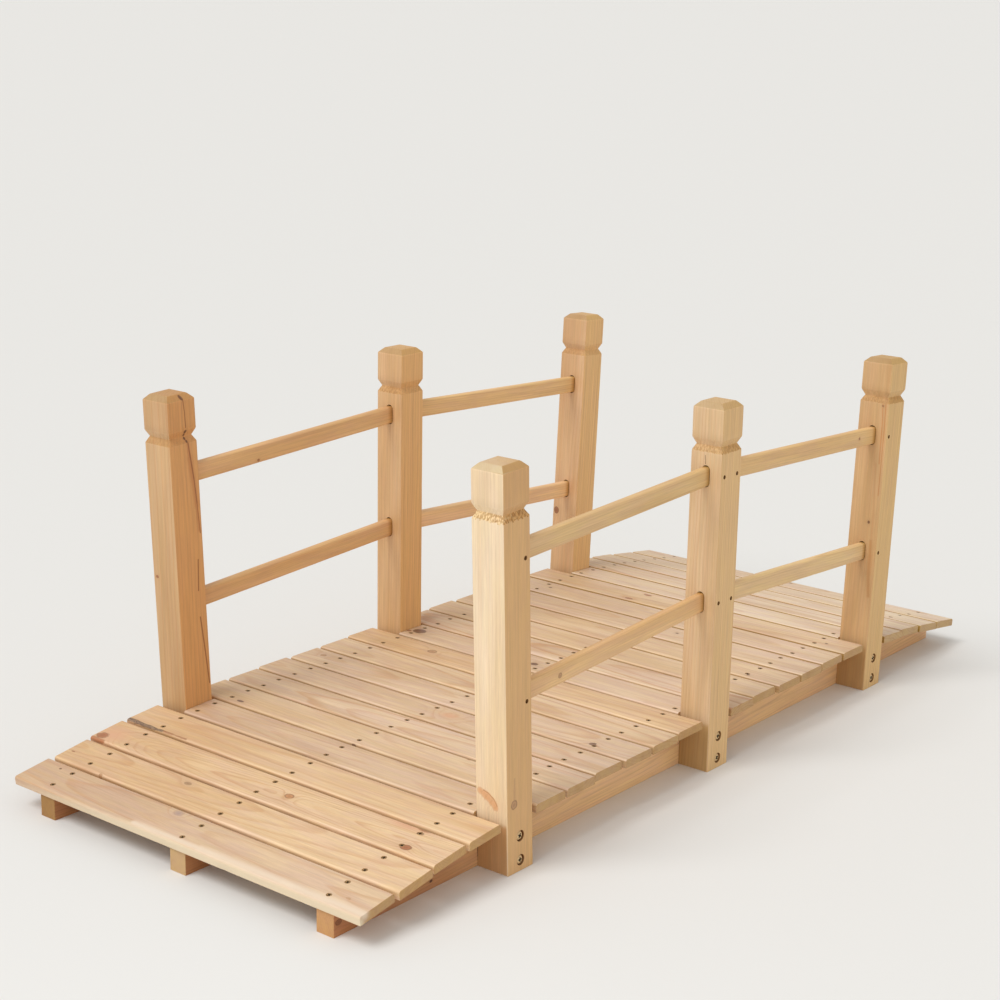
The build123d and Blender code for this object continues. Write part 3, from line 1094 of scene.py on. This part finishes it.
flat = round_bar([(-1.7 * MM, 1.4 * MM), (-0.2 * MM, 0), (0, 0.25 * MM)], deck_screw_radius, 4)
sunk = Matrix.Translation((-deck_screw_sunk, 0, 0))
flat = cross_cut(flat, 0, deck_screw_cross, deck_screw_cross_depth)
scatter("deck_screws", flat, [place @ sunk for place in deck_screws], steel)

pan = [(0, 0.1 * MM), (0.9 * MM, 0), (0.75 * post_screw_height, 0.9 * MM), (post_screw_height, 2.4 * MM)]
pan = round_bar(pan, post_screw_radius, 6)
pan = cross_cut(pan, post_screw_height, post_screw_cross, post_screw_cross_depth)
scatter("post_screws", pan, post_screws, zinc)

small = round_bar([(-1.4 * MM, 0.9 * MM), (-0.2 * MM, 0), (0, 0.25 * MM)], rail_screw_radius, 4)
small = cross_cut(small, 0, rail_screw_cross, rail_screw_cross_depth)
scatter("rail_screws", small, rail_screws, steel)


# Floor, light and camera

near_floor, far_floor = 4.0, 3000.0
floor_tone, sky_tone = (0.80, 0.80, 0.785, 1.0), (1.0, 0.975, 0.94, 1.0)
sky_strength, key_strength, front_power = 0.62, 1.5, 8.0
key_height, key_side, key_spread = (math.radians(angle) for angle in (58, 165, 30))
front_size = 1.6
front_place, front_aim = Vector((-2.6, -1.2, 1.0)), Vector((-0.3, -0.1, 0.25))
camera_place = Vector((-2.24787, -1.720059, 1.073743))
camera_turn, camera_dip, camera_roll = (math.radians(angle) for angle in (-51.169, 14.572, 1.02))
sensor_width, focal_length = 36.0, 70.784

around = ((-1, -1), (1, -1), (1, 1), (-1, 1))
corners = [(x * reach, y * reach, 0) for reach in (near_floor, far_floor) for x, y in around]
outer = [(i, i + 4, (i + 1) % 4 + 4, (i + 1) % 4) for i in range(4)]
floor_mesh = bpy.data.meshes.new("floor")
floor_mesh.from_pydata(corners, [], [(0, 1, 2, 3), *outer])
floor_paint, g = new_material("floor_paint")
g.surface({"Base Color": floor_tone, "Roughness": 0.9})
floor_mesh.materials.append(floor_paint)
floor = new_object("floor", floor_mesh)

scene.world = bpy.data.worlds.new("studio")
scene.world.use_nodes = True
sky = scene.world.node_tree.nodes["Background"]
sky.inputs["Color"].default_value = sky_tone
sky.inputs["Strength"].default_value = sky_strength

key = bpy.data.lights.new("key", "SUN")
key.energy = key_strength
key.angle = key_spread
key_way = Vector((math.cos(key_side), math.sin(key_side), math.tan(key_height)))
new_object("key", key).rotation_euler = key_way.to_track_quat("Z", "Y").to_euler()

front = bpy.data.lights.new("front", "AREA")
front.energy = front_power
front.size = front_size
front_lamp = new_object("front", front)
front_lamp.location = front_place
front_lamp.rotation_euler = (front_place - front_aim).to_track_quat("Z", "Y").to_euler()

backward = Vector((math.sin(camera_turn), -math.cos(camera_turn), math.tan(camera_dip))).normalized()
level = Vector(UP).cross(backward).normalized()
rightward = level * math.cos(camera_roll) + backward.cross(level) * math.sin(camera_roll)
turn = Matrix((rightward, backward.cross(rightward), backward)).transposed()
lens = bpy.data.cameras.new("camera")
lens.sensor_width = sensor_width
lens.lens = focal_length
camera = new_object("camera", lens)
camera.matrix_world = Matrix.Translation(camera_place) @ turn.to_4x4()
bpy.context.scene.camera = camera

scene.view_settings.view_transform = "Standard"
